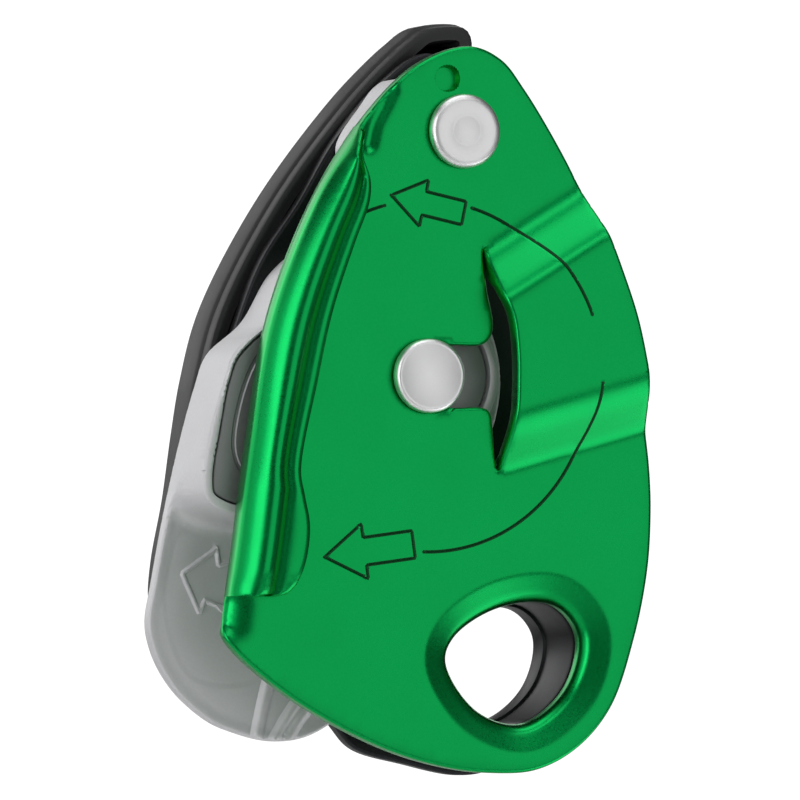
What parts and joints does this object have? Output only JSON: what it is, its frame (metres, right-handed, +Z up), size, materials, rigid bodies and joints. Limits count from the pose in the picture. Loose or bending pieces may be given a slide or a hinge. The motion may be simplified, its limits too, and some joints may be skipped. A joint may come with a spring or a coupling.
{
  "type": "belay device",
  "caption": "Climbing belay device with a sprung cam, a swinging side plate over the rope channel, a carabiner eye and a folding release handle.",
  "frame": {"origin": "centre of the carabiner eye, half way through the two side plates", "axes": "+Z up along the device's height, +Y from the swinging plate to the handle at the back, +X to the right"},
  "size_m": [0.0683, 0.0373, 0.1038],
  "materials": {
    "green_aluminium": "green anodised, satin",
    "black_aluminium": "black anodised, satin",
    "stainless": "stainless steel, tumbled",
    "cast_stainless": "cast stainless steel, bead blasted",
    "dark_steel": "dark steel lid, blasted",
    "bronze": "sintered bronze",
    "spring_steel": "bright spring steel",
    "black_nylon": "glass-filled nylon, moulded",
    "grey_rubber": "soft moulded grip"
  },
  "bodies": {
    "frame": {"fixed_side_plate": "black_aluminium", "carabiner_sleeve": "black_aluminium", "pivot_rivet": "stainless", "pivot_washer": "black_nylon", "pivot_spacer": "stainless", "friction_block": "stainless", "friction_block_rivet_upper": "stainless", "friction_block_rivet_lower": "stainless", "cam_stop_pin": "stainless", "cam_axle": "stainless", "axle_circlip": "spring_steel", "mode_knob_screw": "stainless", "knob_wave_washer": "spring_steel"},
    "front_plate": {"moving_side_plate": "green_aluminium"},
    "cam": {"cam": "cast_stainless", "cam_cover": "dark_steel", "cam_bush": "bronze", "cam_torsion_spring": "spring_steel"},
    "lever": {"handle_carrier": "black_aluminium", "handle_return_spring": "spring_steel", "hub_cap": "black_nylon", "handle_hinge_pin": "stainless", "handle_fold_spring": "spring_steel"},
    "handle": {"handle_shell": "black_nylon", "handle_grip_pad": "grey_rubber"},
    "knob": {"mode_knob": "black_nylon"}
  },
  "joints": [
    {"name": "side_plate_swing", "type": "hinge", "parent": "frame", "child": "front_plate", "pos_m": [-0.0079, 0, 0.0724], "axis": [0, 1, 0], "range_deg": [0, 100]},
    {"name": "cam_turn", "type": "hinge", "parent": "frame", "child": "cam", "pos_m": [-0.0131, 0, 0.039], "axis": [0, 1, 0], "range_deg": [0, 30], "stiffness_Nm_per_rad": 0.08, "springref_deg": -28.65},
    {"name": "handle_release", "type": "hinge", "parent": "frame", "child": "lever", "pos_m": [-0.0131, 0, 0.039], "axis": [0, 1, 0], "range_deg": [-25, 0], "stiffness_Nm_per_rad": 0.08, "springref_deg": 34.38},
    {"name": "handle_fold", "type": "hinge", "parent": "lever", "child": "handle", "pos_m": [-0.0315, 0.0155, -0.0022], "axis": [-0.9367, 0, 0.3502], "range_deg": [0, 150]},
    {"name": "mode_knob_turn", "type": "hinge", "parent": "frame", "child": "knob", "pos_m": [0.007, 0, 0.027], "axis": [0, 1, 0], "range_deg": [0, 90]}
  ]
}
